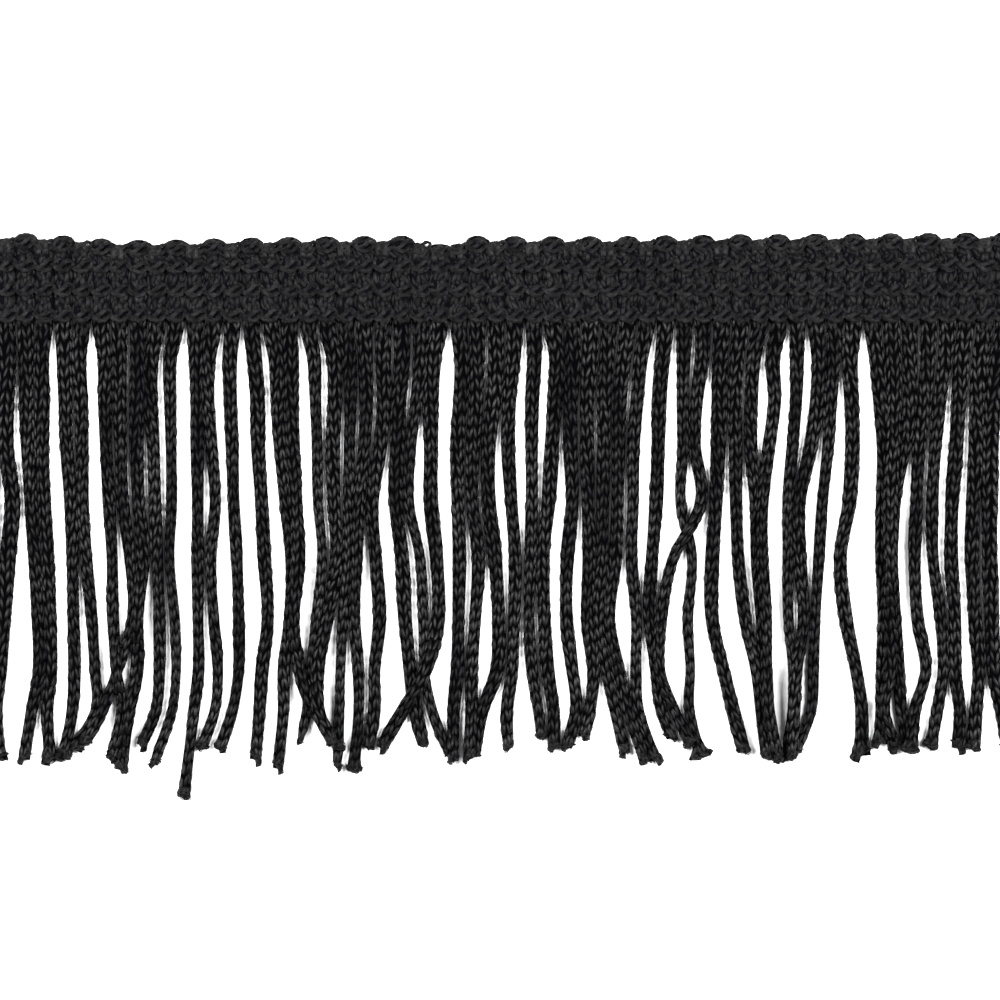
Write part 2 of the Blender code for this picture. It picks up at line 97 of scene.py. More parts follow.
# How far each strand strays sideways from straight below its own stitch, at eight depths below the foot and
# at its tip. Then its length, the width of the fused knob at its tip, and how wide it is for its kind: one
# that is pulled tight is narrower.
STRAY_DEPTHS = (3.5, 7.5, 12.0, 17.5, 23.0, 29.0, 34.0, 38.0)
Strand = namedtuple("Strand", "at_3 at_7 at_12 at_17 at_23 at_29 at_34 at_38 tip length knob width")
STRANDS = [Strand(*row) for row in (
    (0.0, 0.1, 0.2, 0.3, 0.2, 0.0, -0.1, -0.2, -0.2, 42.0, 1.3, 1.0),
    (0.1, -0.12, -0.12, 0.55, 0.1, -0.3, -0.7, -1.2, -0.8, 42.9, 1.9, 1.18),
    (0.0, 0.05, 0.2, 0.5, 0.9, 1.15, 1.4, 0.6, -0.15, 42.8, 1.4, 0.97),
    (-0.3, -0.2, -0.25, 0.0, 0.3, 0.6, 0.6, 0.25, 0.6, 43.0, 2.1, 1.0),
    (0.1, 0.2, 0.3, 0.75, 0.9, 1.0, 1.1, 0.9, 0.0, 42.7, 1.9, 0.95),
    (-0.3, -0.1, 0.0, 0.1, 0.4, 0.95, 1.25, 1.4, -0.75, 41.9, 1.8, 0.9),
    (0.4, 0.4, 0.5, 0.8, 1.1, 1.2, 1.65, 2.1, 1.0, 42.8, 1.4, 0.9),
    (0.0, 0.0, 0.1, 0.3, 1.0, 1.3, -0.2, -1.6, -3.35, 41.2, 1.2, 0.9),
    (-0.1, -0.2, -0.2, 0.0, 0.45, 0.0, -0.15, -0.8, -1.75, 43.8, 1.4, 1.0),
    (-0.6, -0.68, -0.4, -0.25, -0.02, 0.2, 0.2, -0.15, -1.6, 41.5, 1.2, 0.93),
    (-0.6, -0.58, -0.5, -0.45, -0.65, -0.15, 0.0, -0.4, -2.2, 43.3, 1.2, 0.78),
    (0.1, 0.2, 0.2, 0.28, 0.25, 0.3, 0.35, -0.1, -1.1, 46.5, 1.5, 0.9),
    (-0.5, -0.55, -0.25, 0.15, -0.3, 0.0, 0.4, 0.1, -1.2, 41.7, 1.4, 0.85),
    (-0.28, -0.22, -0.05, 0.1, 0.4, 0.6, 0.6, 0.0, -1.3, 41.9, 1.4, 0.9),
    (0.3, 0.6, 0.65, 1.0, 1.27, 1.6, 1.05, 0.8, 0.4, 42.8, 1.3, 1.0),
    (0.55, 0.75, 1.0, 1.5, 2.1, 1.9, 1.35, 1.3, 0.75, 43.7, 1.2, 0.95),
    (0.2, 0.25, 0.35, 0.7, 1.0, 0.5, 1.1, 2.6, 5.1, 41.7, 1.2, 1.0),
    (0.6, 0.74, 0.9, 1.0, 1.4, 0.8, 0.2, -0.1, -0.8, 41.2, 0.9, 0.75),
    (0.75, 0.8, 0.6, 0.7, 1.0, 0.1, -0.8, -0.7, 0.7, 41.1, 1.1, 1.0),
    (0.4, 0.5, 0.4, 0.3, 0.2, -0.25, -0.5, -0.6, -0.8, 43.5, 1.1, 0.8),
    (0.1, 0.2, 0.0, -0.5, -0.7, -0.95, -0.6, -0.55, -1.05, 43.9, 1.7, 0.9),
    (0.0, 0.1, -0.3, -1.1, -0.75, -0.35, -0.85, -0.87, -1.5, 41.7, 1.2, 1.0),
    (0.0, -0.3, -0.42, -0.6, 0.0, 0.3, 0.8, 1.35, 2.1, 41.4, 1.1, 1.08),
    (-0.1, -0.4, -1.0, -1.2, -0.08, 0.25, 0.35, 1.1, 2.7, 42.2, 1.1, 0.8),
    (-0.6, -0.86, -0.84, -0.85, -0.3, -0.15, -1.35, -3.6, -5.75, 41.7, 1.1, 1.05),
    (0.35, 0.2, -0.1, -0.05, 0.1, 0.0, -0.1, -0.47, -0.5, 42.9, 1.2, 1.0),
    (0.0, -0.1, -0.4, -0.5, 0.12, -0.2, -0.55, -0.57, -0.87, 42.6, 1.2, 0.97),
    (0.0, -0.25, -0.75, -0.72, -0.1, 0.25, 0.12, -1.32, -2.2, 42.5, 1.2, 1.06),
    (-0.18, -0.55, -0.66, -0.35, 0.03, -0.08, -0.25, -0.78, -0.65, 41.7, 1.2, 0.95),
    (0.07, -0.15, -0.2, -0.18, -0.33, -0.47, -0.15, 0.45, 0.8, 40.7, 1.4, 0.9),
    (0.45, 0.25, -0.05, -0.38, -0.97, -0.8, -0.5, 0.1, 0.15, 41.8, 1.2, 1.05),
    (0.2, -0.05, -0.1, 0.1, -0.39, -0.47, 0.1, 0.5, -0.45, 41.7, 1.1, 1.0),
    (0.0, -0.3, -0.3, -0.2, -0.08, -0.3, 0.35, -0.02, -0.65, 40.6, 1.1, 1.0),
    (-0.2, -0.5, -0.5, -0.6, -0.7, -1.0, -0.2, 0.6, 1.6, 42.2, 1.2, 0.95),
    (-0.4, -0.8, -0.9, -1.0, -1.2, -1.8, -0.9, 0.0, 1.7, 43.0, 1.5, 0.95),
    (-0.58, -0.93, -1.29, -1.32, -1.48, -1.0, -1.05, -0.84, 0.9, 42.9, 1.7, 0.88),
    (-0.3, -0.6, -0.7, -0.9, -1.3, -1.57, -0.87, -0.38, 0.65, 40.7, 1.3, 0.98),
    (-0.05, -0.15, -0.1, -0.35, 0.76, 0.35, 0.6, 0.5, 1.7, 42.6, 2.8, 0.8),
    (-0.1, -0.62, -0.82, -0.18, -2.9, -4.1, -4.3, -2.8, -1.25, 41.4, 1.4, 0.87),
    (-0.2, -0.25, -0.35, -0.58, -0.93, -0.95, 0.15, 1.1, 2.2, 42.1, 1.3, 1.05),
    (-0.4, -0.6, -0.5, -0.45, -0.24, 0.45, 1.45, 1.95, 2.5, 42.5, 1.2, 0.95),
    (-0.58, -0.8, -0.86, -0.4, -0.28, 0.22, 0.34, 0.62, 1.2, 42.8, 1.2, 0.9),
    (-0.55, -0.35, -0.9, -1.6, -1.65, -1.27, -1.25, -1.1, 0.0, 42.9, 1.2, 0.9),
    (-0.02, -0.1, -0.44, -0.9, -0.9, -0.85, -0.4, -0.4, -1.2, 42.9, 1.2, 0.82),
    (0.3, 0.12, -0.48, -1.6, -1.58, -1.2, -2.05, -2.25, -2.4, 42.6, 1.1, 0.96),
    (-0.1, -0.4, -0.64, -1.2, -1.55, -1.9, -2.1, -2.3, -3.8, 42.1, 1.1, 0.84),
    (-0.36, -0.2, -0.1, -0.4, -1.3, -0.75, 0.25, 0.8, 0.75, 42.4, 2.1, 1.03),
    (0.45, 0.8, 1.1, 1.0, 0.95, 1.1, 1.0, 0.9, 0.7, 41.3, 1.7, 1.0),
    (0.2, 0.3, 0.1, -0.2, -0.3, -0.2, -0.2, -0.86, 0.5, 41.8, 1.5, 1.0),
    (0.0, 0.0, -0.52, -1.5, -1.9, -1.4, -1.1, -0.85, -0.2, 41.9, 2.0, 0.92),
    (-0.1, -0.4, -0.95, -1.2, -1.4, -1.1, -0.28, -1.4, -2.05, 41.9, 2.1, 0.95),
    (-0.25, -0.78, -1.2, -1.5, -1.45, -0.68, -0.45, -1.02, -1.7, 41.6, 1.9, 0.9),
    (-0.5, -0.75, -1.0, -1.4, -1.5, -1.13, -1.15, -0.65, -0.8, 41.7, 1.4, 1.03),
    (-0.5, -0.82, -0.88, -1.2, -1.3, -1.0, -0.6, -0.92, -1.2, 41.8, 1.4, 1.08),
    (-0.6, -1.1, -1.3, -1.4, -1.4, -1.2, -0.9, -0.2, 0.4, 41.7, 1.1, 1.2),
)]

# Chainette cord: a narrow tube of four knitted columns, a little flattened as it lies
CORD_WIDTH = 1.40
ROOT_EXTRA_WIDTH = 0.48
ROOT_EXTRA_REACH = 14.0
CORD_THICKNESS = 1.08
WIDTH_VARIATION = 0.07
WIDTH_WAVE_LENGTHS = (9.0, 16.0)
FLARE_LENGTH = 2.0
TWIST_WAVES = 3
TWIST_SIZES = (0.4, 1.0)
TWIST_SCALE = 0.75
TWIST_LENGTHS = (18.0, 45.0)

# How strands lie on one another: the width that one takes up, its steepest slope, and how softly it bends
NESTING_WIDTH = 1.12
STEEPEST_CLIMB = 0.60
SETTLING = 1.4

# Stitches of the chainette, each with two legs
COLUMNS = 4
CHAINETTE_STITCH = 1.18
LEG_LENGTH = 1.38
LEG_WIDTH = 0.35
LEG_THICKNESS = 0.28
LEG_END_SHARE = 0.46
LEG_ROUNDNESS = 0.7
LEG_DIP = 0.13
LEG_SLIP = 0.15
LEG_TURN = 0.15
LEG_FULLNESS = 0.20
LEG_LIFT = 0.06
FOOT_SPREAD = 0.13
HEAD_SPREAD = 0.62
LEG_RINGS = 5
LEG_SIDES = 5
LAST_STITCH = 0.3
HEADING_LEG_BLOOM = 0.50
INNER_LEGS_SHARE = 0.74
INNER_LEGS_FACING = 0.2

# A solid tube in the hollow of a cord, coloured as painted shade, as shares of its width and thickness, with
# a ring at every so many points.
# Its lengths in the strand and in the heading overlap at the foot.
HOLLOW_SHARE = 0.88
HOLLOW_TOP_SHARE = 0.66
HEADING_HOLLOW_SHARE = 0.93
HOLLOW_SIDES = 8
STRAND_HOLLOW_EVERY = 9
HEADING_HOLLOW_EVERY = 4
HOLLOW_PAST_FOOT = 0.4
HOLLOW_BELOW_FOOT = 0.2

# The strands are made in pieces of so many cords
CORDS_IN_PIECE = 7

# Fused tip of a strand, with short loose filaments matted into it
KNOB_LENGTH = 1.15
KNOB_OVERHANG = 0.14
KNOB_RINGS = 12
KNOB_SIDES = 18
KNOB_LUMPS = 0.065
KNOB_EDGE_LUMPS = 0.05
LUMP_WAVES = ((1, 2.0), (2, 4.0), (3, 7.0), (4, 3.0), (6, 9.0), (8, 5.0))
LUMPS_GROW_OVER = 0.4
KNOB_SLANT = 0.14
KNOB_SIDE_SLANT = 0.50
SLANT_GROWS_OVER = 0.8
KNOB_NECK = 0.70
NECK_FILLS_OVER = 0.7
DOME_FROM = 0.60
DOME_REACH = 0.405
KNOB_LOWEST = 0.02
MATTED_FILAMENTS = 16
MATTED_FILAMENT = 0.11
MATTED_FIRST_RING = 3
MATTED_REACH = 3
MATTED_POINTS = 5
MATTED_LIFT = 0.05
MATTED_ARCH = 0.07
MATTED_LOWEST = 0.07

# Heading: cords squeezed side by side, under rows of chain stitch
HEADING_CORD_WIDTH = 1.98
HEADING_CORD_THICKNESS = 0.92
HEADING_CORD_RISE = 0.14
HEADING_BLEND = 1.0
HEADING_WAVE = 0.10
HEADING_WAVE_LENGTH = 2.6
TURN_REACH = 0.72
FLATTENED_REACH = 0.95
TURN_RISE = 0.46
TURN_POINTS = 12
TURN_CORD_WIDTH = 1.48
TURN_DROP = 0.12
LEAN_ABOVE_FOOT = 6.7
SHORTEST_LEAN = 0.8
NARROW_ABOVE_FOOT = 7.0
NARROWING = 0.5
EDGE_ABOVE_FOOT = 7.75
LARGE_PICOT_RISE = 0.95
SMALL_PICOT_RISE = 0.38
FLATTENED_PICOT = 24
FLATTENED_SAG = 0.50
FLATTENED_STITCHES = 1.3
CUT_END_ABOVE_FOOT = 6.0

# The picot edge isn't quite straight: how far it rises at places along it
SWAY_PLACES = (-51.0, -46.0, -36.0, -25.0, -10.0, 10.0, 25.0, 40.0, 51.0)
SWAY_RISES = (0.20, 0.25, -0.40, -0.20, 0.00, -0.05, 0.15, 0.25, 0.35)

# Rows of chain stitch: how high each is, how much of the edge's sway it follows, and how full its yarn is
ChainRow = namedtuple("ChainRow", "above_foot sway_share fullness")
FOOT_ROW = ChainRow(0.72, 0.0, 1.0)
HEADING_ROWS = (
    ChainRow(3.22, 0.1, 0.96),
    ChainRow(5.58, 0.3, 0.96),
    ChainRow(7.52, 1.0, 0.84),
)
ROW_PRESS = 0.18
ROW_PRESS_REACH = 0.42
CHAIN_YARN = 0.46
CHAIN_YARN_FLATNESS = 0.85
CHAIN_END_FULLNESS = 0.70
PLY_SWELL = 0.22
PLY_PITCH = 1.15
LINK_HALF_LENGTH = 1.05
LINK_HALF_DEPTH = 0.50
LINK_NARROW_SHARE = 0.84
LINK_NARROW_FROM = 0.45
LINK_SLANT = 0.24
LINK_SLANT_CENTRE = 0.35
LINK_SLANT_RATE = 2.6
LINK_TOP = 1.14
HEAD_DIP = 0.36
HEAD_FROM = 0.25
BASE_DIP = 0.30
BASE_FROM = 0.55
LINK_STRAY = 0.05
LINK_TILT = 0.11
LINK_RISE = 0.11
LINK_POINTS = 42
LINK_SIDES = 8

# Small low loops between the picots
SMALL_TURN_YARN = 0.66
SMALL_TURN_RADIUS = 0.36
SMALL_TURN_HEIGHT = 0.95
SMALL_TURN_SHIFT = -0.14
SMALL_TURN_LEVEL = 0.92
SMALL_TURN_POINTS = 9
SMALL_TURN_LEG_POINTS = 3

# Yarn on the back. At each stitch it passes three places: the share of a stitch along, the way up the trim,
# and the height.
BACK_YARN = 0.24
BACK_PLACES = ((-0.36, -0.10, 0.14), (0.30, 0.10, 0.14), (0.48, 0.0, 0.42))
BACK_STEP = 0.3

# Looks of the yarn: sizes of its patterns in millimetres, and how far its gleam ranges
RAYON_IOR = 1.53
PATCH_LENGTH = 1.25
RIDGE_DEPTH = 0.03
OWN_GLEAM = (0.65, 1.35)
MATTING_GRAIN = 0.35
MATTING_DEPTH = 0.16
MATTED_GLEAMS = (0.01, 0.21)

rng = np.random.default_rng(7)


def smooth_values(at, places, values):
    """Values at many places on the smooth curve through a short table, level at the table's start."""
    places = np.asarray(places)
    values = np.asarray(values)
    slopes = np.zeros(len(places))
    slopes[1:-1] = (values[2:] - values[:-2]) / (places[2:] - places[:-2])
    slopes[-1] = (values[-1] - values[-2]) / (places[-1] - places[-2])
    at = np.clip(at, places[0], places[-1])
    i = np.clip(np.searchsorted(places, at, side="right") - 1, 0, len(places) - 2)
    span = places[i + 1] - places[i]
    t = (at - places[i]) / span
    start_weight = 2 * t ** 3 - 3 * t ** 2 + 1
    return (
        start_weight * values[i]
        + (1 - start_weight) * values[i + 1]
        + (t ** 3 - 2 * t ** 2 + t) * span * slopes[i]
        + (t ** 3 - t ** 2) * span * slopes[i + 1]
    )


def ease(t):
    """Turns an even run from 0 to 1 into one that starts and stops softly."""
    t = np.clip(t, 0.0, 1.0)
    return t * t * (3 - 2 * t)


def unit(vectors):
    """The same directions, one unit long."""
    return vectors / np.linalg.norm(vectors, axis=-1, keepdims=True)


def stitch_centre(number):
    """Where a strand and its stitches lie along the heading."""
    return (number + 0.5) * STITCH - CUT_LENGTH / 2


def edge_rise(x):
    """How far the picot edge sways up at a place along the heading."""
    return smooth_values(x, SWAY_PLACES, SWAY_RISES)


def across_at(number, depths):
    """A strand's place along the heading at depths below the foot."""
    strand = STRANDS[number]
    table_depths = (0.0,) + STRAY_DEPTHS + (strand.length,)
    strays = (0.0,) + tuple(strand[:len(table_depths) - 1])
    return stitch_centre(number) + smooth_values(depths, table_depths, strays)


def settle(needed, depths):
    """The lowest line that passes over what lies beneath, climbs gently and bends softly."""
    apart = np.abs(depths[:, None] - depths[None, :])
    height = (needed[None, :] - STEEPEST_CLIMB * apart).max(axis=1)
    weight = np.clip(1 - apart / SETTLING, 0.0, None)
    softened = (weight * height).sum(axis=1) / weight.sum(axis=1)
    return np.maximum(softened, 0.0)


def strand_heights(places, depths):
    """How high each strand lies: the odd strands lie first, and the even ones over them."""
    slants = [np.gradient(place, depths) for place in places]
    widths = [NESTING_WIDTH * np.sqrt(1 + slant ** 2) for slant in slants]
    heights = {}
    for number in [*range(1, STRAND_COUNT, 2), *range(0, STRAND_COUNT, 2)]:
        needed = np.zeros(len(depths))
        for other, height in heights.items():
            gap = np.abs(places[number] - places[other]) / ((widths[number] + widths[other]) / 2)
            over = height + CORD_THICKNESS * np.sqrt(np.clip(1 - gap ** 2, 0.0, None))
            touches = (gap < 1) & (depths < STRANDS[other].length) & (depths < STRANDS[number].length)
            needed = np.maximum(needed, np.where(touches, over, 0.0))
        heights[number] = settle(needed, depths)
    return heights


def lay_strands():
    """Each strand's middle line, from root to tip."""
    depths = np.arange(0.0, max(strand.length for strand in STRANDS) + STEP, STEP)
    places = [across_at(number, depths) for number in range(STRAND_COUNT)]
    heights = strand_heights(places, depths)
    lines = []
    for number, strand in enumerate(STRANDS):
        depth = np.append(np.arange(0.0, strand.length - STEP / 2, STEP), strand.length)
        x = np.interp(depth, depths, places[number])
        z = np.interp(depth, depths, heights[number]) + CORD_THICKNESS / 2
        lines.append(np.stack([x, FOOT_Y - depth, z], axis=1))
    return lines


def flattened_sag(numbers):
    """How far the edge sinks at stitches near the picot that lies flat."""
    return FLATTENED_SAG * np.exp(-((numbers - FLATTENED_PICOT) / FLATTENED_STITCHES) ** 2)


def picot_top(number):
    """How far the picot over a strand reaches above the foot."""
    flat = number % 2 or number == FLATTENED_PICOT
    rise = SMALL_PICOT_RISE - flattened_sag(number) if flat else LARGE_PICOT_RISE
    return EDGE_ABOVE_FOOT + rise + edge_rise(stitch_centre(number))


def picot_turn(number):
    """A cord's line through the heading: up from an even strand's root, round its picot, and down again."""
    middle = stitch_centre(number)
    reach = FLATTENED_REACH if number == FLATTENED_PICOT else TURN_REACH
    turn_above = picot_top(number) - TURN_CORD_WIDTH / 2 - TURN_RISE
    lean_above = min(LEAN_ABOVE_FOOT, turn_above - SHORTEST_LEAN)
    above = np.arange(STEP, turn_above, STEP)
    lean = ease((above - lean_above) / (turn_above - lean_above))
    angle = np.linspace(np.pi, 0.0, TURN_POINTS)
    turn_x = middle + reach * np.cos(angle)
    turn_y = turn_above + TURN_RISE * np.sin(angle)
    down_x = middle + STITCH + (reach - STITCH) * lean
    above_down = above
    if number == STRAND_COUNT - 1:
        # The last cord is cut off on its way down
        kept = above > CUT_END_ABOVE_FOOT
        down_x = np.full(kept.sum(), middle + reach)
        above_down = above[kept]
    x = np.concatenate([middle - reach * lean, turn_x, down_x[::-1]])
    y = np.concatenate([above, turn_y, above_down[::-1]])
    past_lean = ease((y - lean_above) / (turn_above - lean_above))
    wave = np.sin(TURN * y / HEADING_WAVE_LENGTH + rng.uniform(0.0, TURN))
    x = x + HEADING_WAVE * wave * ease(y / HEADING_BLEND) * (1 - past_lean)
    z = CORD_THICKNESS / 2 + HEADING_CORD_RISE * ease(y / HEADING_BLEND) - TURN_DROP * past_lean
    return np.stack([x, FOOT_Y + y, z], axis=1)


def add_object(name, data):
    """An object in the scene, from its mesh, camera or lamp."""
    obj = bpy.data.objects.new(name, data)
    bpy.context.scene.collection.objects.link(obj)
    return obj


class Cord:
    """One length of chainette along its middle line, with its half widths and the directions across it."""

    def __init__(self, first, strand_lines):
        parts = [strand_lines[first][::-1], picot_turn(first)]
        self.strands = [first]
        if first + 1 < STRAND_COUNT:
            parts.append(strand_lines[first + 1])
            self.strands.append(first + 1)
        self.set_line(np.concatenate(parts))
        self.set_widths()
        self.phase = rng.uniform(0.0, TURN)
        self.twist_waves = []
        for _ in range(TWIST_WAVES):
            size = rng.uniform(*TWIST_SIZES) * TWIST_SCALE
            rate = TURN / rng.uniform(*TWIST_LENGTHS)
            self.twist_waves.append((size, rate, rng.uniform(0.0, TURN)))

    def set_line(self, points):
        """The middle line in even steps, with the directions along, across and up at each."""
        along = np.append(0.0, np.cumsum(np.linalg.norm(np.diff(points, axis=0), axis=1)))
        self.length = along[-1]
        self.along = np.arange(0.0, self.length, STEP / 2)
        self.points = np.stack([np.interp(self.along, along, points[:, k]) for k in range(3)], axis=1)
        self.forward = unit(np.gradient(self.points, axis=0))
        self.side = unit(np.cross(UPWARDS, self.forward))
        self.top = np.cross(self.forward, self.side)
        self.above = self.points[:, 1] - FOOT_Y

    def set_widths(self):
        """Half widths along the cord: broad in the heading, narrow round the picot, fitted to its knobs."""
        at_turn = ease((self.above - NARROW_ABOVE_FOOT) / NARROWING)
        in_heading = ease(self.above / HEADING_BLEND + 0.5) * (1 - at_turn)
        near_root = np.exp(np.minimum(self.above, 0.0) / ROOT_EXTRA_REACH)
        first = STRANDS[self.strands[0]]
        last = STRANDS[self.strands[-1]]
        own = np.where(self.along < self.length / 2, first.width, last.width)
        # A cord that is narrow or full for its kind is as wide as the others where it leaves the foot
        own = own + (1 - own) * near_root ** 3
        width = own * (CORD_WIDTH + ROOT_EXTRA_WIDTH * near_root)
        width = width + (TURN_CORD_WIDTH - width) * at_turn
        wave_length = rng.uniform(*WIDTH_WAVE_LENGTHS)
        breathing = np.sin(TURN * self.along / wave_length + rng.uniform(0.0, TURN))
        width = width * (1 + WIDTH_VARIATION * breathing * (1 - near_root))
        half_width = (width + (HEADING_CORD_WIDTH - width) * in_heading) / 2
        self.in_heading = np.maximum(in_heading, at_turn)
        half_height = CORD_THICKNESS / 2 + (HEADING_CORD_THICKNESS - CORD_THICKNESS) / 2 * in_heading
        for knob, distance in self.tips():
            flare = ease(1 - distance / FLARE_LENGTH) ** 2
            half_width = half_width + (knob - CORD_WIDTH) / 2 * flare
        self.half_width = half_width
        self.half_height = half_height

    def tips(self):
        """The knob width of each tip, with every point's distance from it."""
        found = [(STRANDS[self.strands[0]].knob, self.along)]
        if len(self.strands) == 2:
            found.append((STRANDS[self.strands[1]].knob, self.length - self.along))
        return found

    def at(self, values, along):
        """Any of the cord's columns, read at places along it."""
        if values.ndim == 1:
            return np.interp(along, self.along, values)
        return np.stack([np.interp(along, self.along, values[:, k]) for k in range(3)], axis=-1)

    def twist(self, along):
        """How far the knitted columns have turned round the cord."""
        turned = self.phase + 0.0 * along
        for size, rate, start in self.twist_waves:
            turned = turned + size * np.sin(rate * along + start)
        return turned

    def surface(self, along, angle, share, inset=0.0):
        """Points round the cord, at a share of its half widths less an inset."""
        side = (self.at(self.half_width, along) - inset) * share * np.cos(angle)
        top = (self.at(self.half_height, along) - inset) * share * np.sin(angle)
        return (
            self.at(self.points, along)
            + side[..., None] * self.at(self.side, along)
            + top[..., None] * self.at(self.top, along)
        )

    def outward(self, along, angle):
        """Directions straight out of the cord's surface."""
        side = np.cos(angle) / self.at(self.half_width, along)
        top = np.sin(angle) / self.at(self.half_height, along)
        return unit(side[..., None] * self.at(self.side, along) + top[..., None] * self.at(self.top, along))


class Fabric:
    """Gathers tubes of yarn into one mesh."""

    def __init__(self):
        self.points = []
        self.faces = []
        self.face_sides = []
        self.face_materials = []
        self.maps = []
        self.count = 0

    def tubes(self, centres, across, up, material, sides=8, ends="flat", plied=False):
        """Tubes from rings, given as (tube, ring, xyz), with the two half axes of every ring."""
        angle = np.arange(sides) * TURN / sides + 0.0 * centres[:, :, :1]
        swell = 1.0
        if plied:
            along = np.linalg.norm(np.diff(centres, axis=1, prepend=centres[:, :1]), axis=2).cumsum(axis=1)
            turned = TURN * along[..., None] / PLY_PITCH
            swell = (1 + PLY_SWELL * np.cos(2 * (angle - turned)))[..., None]
        points = (
            across[:, :, None] * np.cos(angle)[..., None] + up[:, :, None] * np.sin(angle)[..., None]
        )
        self.skin(centres[:, :, None] + points * swell, material, ends)

    def skin(self, points, material, ends="flat"):
        """Covers rings of points, given as (tube, ring, side, xyz).

        The ends are flat, or pointed, or joined in a loop.
        """
        map_start = rng.uniform(0.0, MAP_STRETCH, len(points))
        middles = points.mean(axis=2)
        if ends == "joined":
            middles = np.concatenate([middles, middles[:, :1]], axis=1)
        length = np.linalg.norm(np.diff(middles, axis=1, prepend=middles[:, :1]), axis=2).cumsum(axis=1)
        length = length + map_start[:, None]
        if ends == "pointed":
            tips = middles[:, [0, -1]]
            points = points[:, 1:-1]
            length = length[:, 1:-1]
        tubes, rings, sides = points.shape[:3]
        start = self.count + np.arange(tubes)[:, None, None] * rings * sides
        spans = rings if ends == "joined" else rings - 1
        ring = np.arange(spans)[None, :, None]
        step = np.arange(sides)[None, None, :]
        ring_after = (ring + 1) % rings
        step_after = (step + 1) % sides
        self.add_faces(
            start + ring * sides + step,
            start + ring * sides + step_after,
            start + ring_after * sides + step_after,
            start + ring_after * sides + step,
        )
        near = length[:, :spans, None] + 0.0 * step
        far = length[:, 1:, None] + 0.0 * step
        left = step / sides + 0.0 * near
        right = (step + 1) / sides + 0.0 * near
        self.add_map(left, near, right, near, right, far, left, far)
        self.points.append(points.reshape(-1, 3))
        self.count += tubes * rings * sides
        face_count = near.size
        start = start[:, 0]
        step = step[0]
        step_after = step_after[0]
        last = start + (rings - 1) * sides
        first_place = near[:, 0]
        last_place = far[:, -1]
        if ends == "flat":
            self.add_faces(*(start + side for side in range(sides - 1, -1, -1)))
            self.add_map(*[0.5, first_place[:, :1]] * sides)
            self.add_faces(*(last + side for side in range(sides)))
            self.add_map(*[0.5, last_place[:, :1]] * sides)
            face_count += 2 * tubes
        if ends == "pointed":
            tip = self.count + np.arange(tubes)[:, None] * 2 + 0 * step
            self.add_faces(start + step_after, start + step, tip)
            self.add_map(right[:, 0], first_place, left[:, 0], first_place, left[:, 0], first_place)
            self.add_faces(last + step, last + step_after, tip + 1)
            self.add_map(left[:, 0], last_place, right[:, 0], last_place, right[:, 0], last_place)
            self.points.append(tips.reshape(-1, 3))
            self.count += 2 * tubes
            face_count += 2 * tubes * sides
        self.face_materials.append(np.full(face_count, material))

    def add_faces(self, *corners):
        """Faces from the numbers of their corners."""
        corners = np.stack(np.broadcast_arrays(*corners), axis=-1)
        self.faces.append(corners.reshape(-1))
        self.face_sides.append(np.full(corners[..., 0].size, corners.shape[-1]))

    def add_map(self, *places):
        """The yarn map of the faces just added: round the yarn and along it, corner by corner."""
        self.maps.append(np.stack(np.broadcast_arrays(*places), axis=-1).reshape(-1, 2))

    def build(self, name, materials, node):
        """Makes the object, in place of a node of the solids."""
        points = np.concatenate(self.points) * MM
        # Soft yarn is pressed flat where it would dip under the surface that it lies on
        points[:, 2] = np.maximum(points[:, 2], 0.0)
        corners = np.concatenate(self.faces)
        sides = np.concatenate(self.face_sides)
        mesh = bpy.data.meshes.new(name)
        mesh.vertices.add(len(points))
        mesh.vertices.foreach_set("co", points.ravel())
        mesh.loops.add(len(corners))
        mesh.loops.foreach_set("vertex_index", corners.astype(np.int32))
        mesh.polygons.add(len(sides))
        starts = np.append(0, np.cumsum(sides)[:-1])
        mesh.polygons.foreach_set("loop_start", starts.astype(np.int32))
        mesh.polygons.foreach_set("material_index", np.concatenate(self.face_materials).astype(np.int32))
        mesh.polygons.foreach_set("use_smooth", np.ones(len(sides), dtype=bool))
        yarn_map = mesh.uv_layers.new(name="yarn")
        yarn_map.uv.foreach_set("vector", np.concatenate(self.maps).astype(np.float32).ravel())
        mesh.update(calc_edges=True)
        mesh.validate()
        for material in materials:
            mesh.materials.append(material)
        obj = add_object(name, mesh)
        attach(obj, "root")
        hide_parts(node)


def ring_axes(centres, up_hint, closed=False):
    """Directions across and up for the rings of tubes that keep one side towards the hint."""
    if closed:
        forward = np.roll(centres, -1, axis=1) - np.roll(centres, 1, axis=1)
    else:
        forward = np.gradient(centres, axis=1)
    forward = unit(forward)
    across = unit(np.cross(up_hint, forward))
    return across, np.cross(forward, across)


def leg_stations(cord, low, high):
    """Where the cord's stitches are, between two heights above the foot."""
    places = np.arange(CHAINETTE_STITCH / 2, cord.length - LAST_STITCH, CHAINETTE_STITCH)
    above = cord.at(cord.above, places)
    return places[(above >= low) & (above < high)]


def pressed_down(centres):
    """How far the rows of chain stitch press down the cords under them."""
    above = centres[..., 1] - FOOT_Y
    sway = edge_rise(centres[..., 0])
    press = 0.0
    for row in (FOOT_ROW, *HEADING_ROWS):
        from_row = above - row.above_foot - row.sway_share * sway
        press = press + ROW_PRESS * np.exp(-(from_row / ROW_PRESS_REACH) ** 2)
    return press


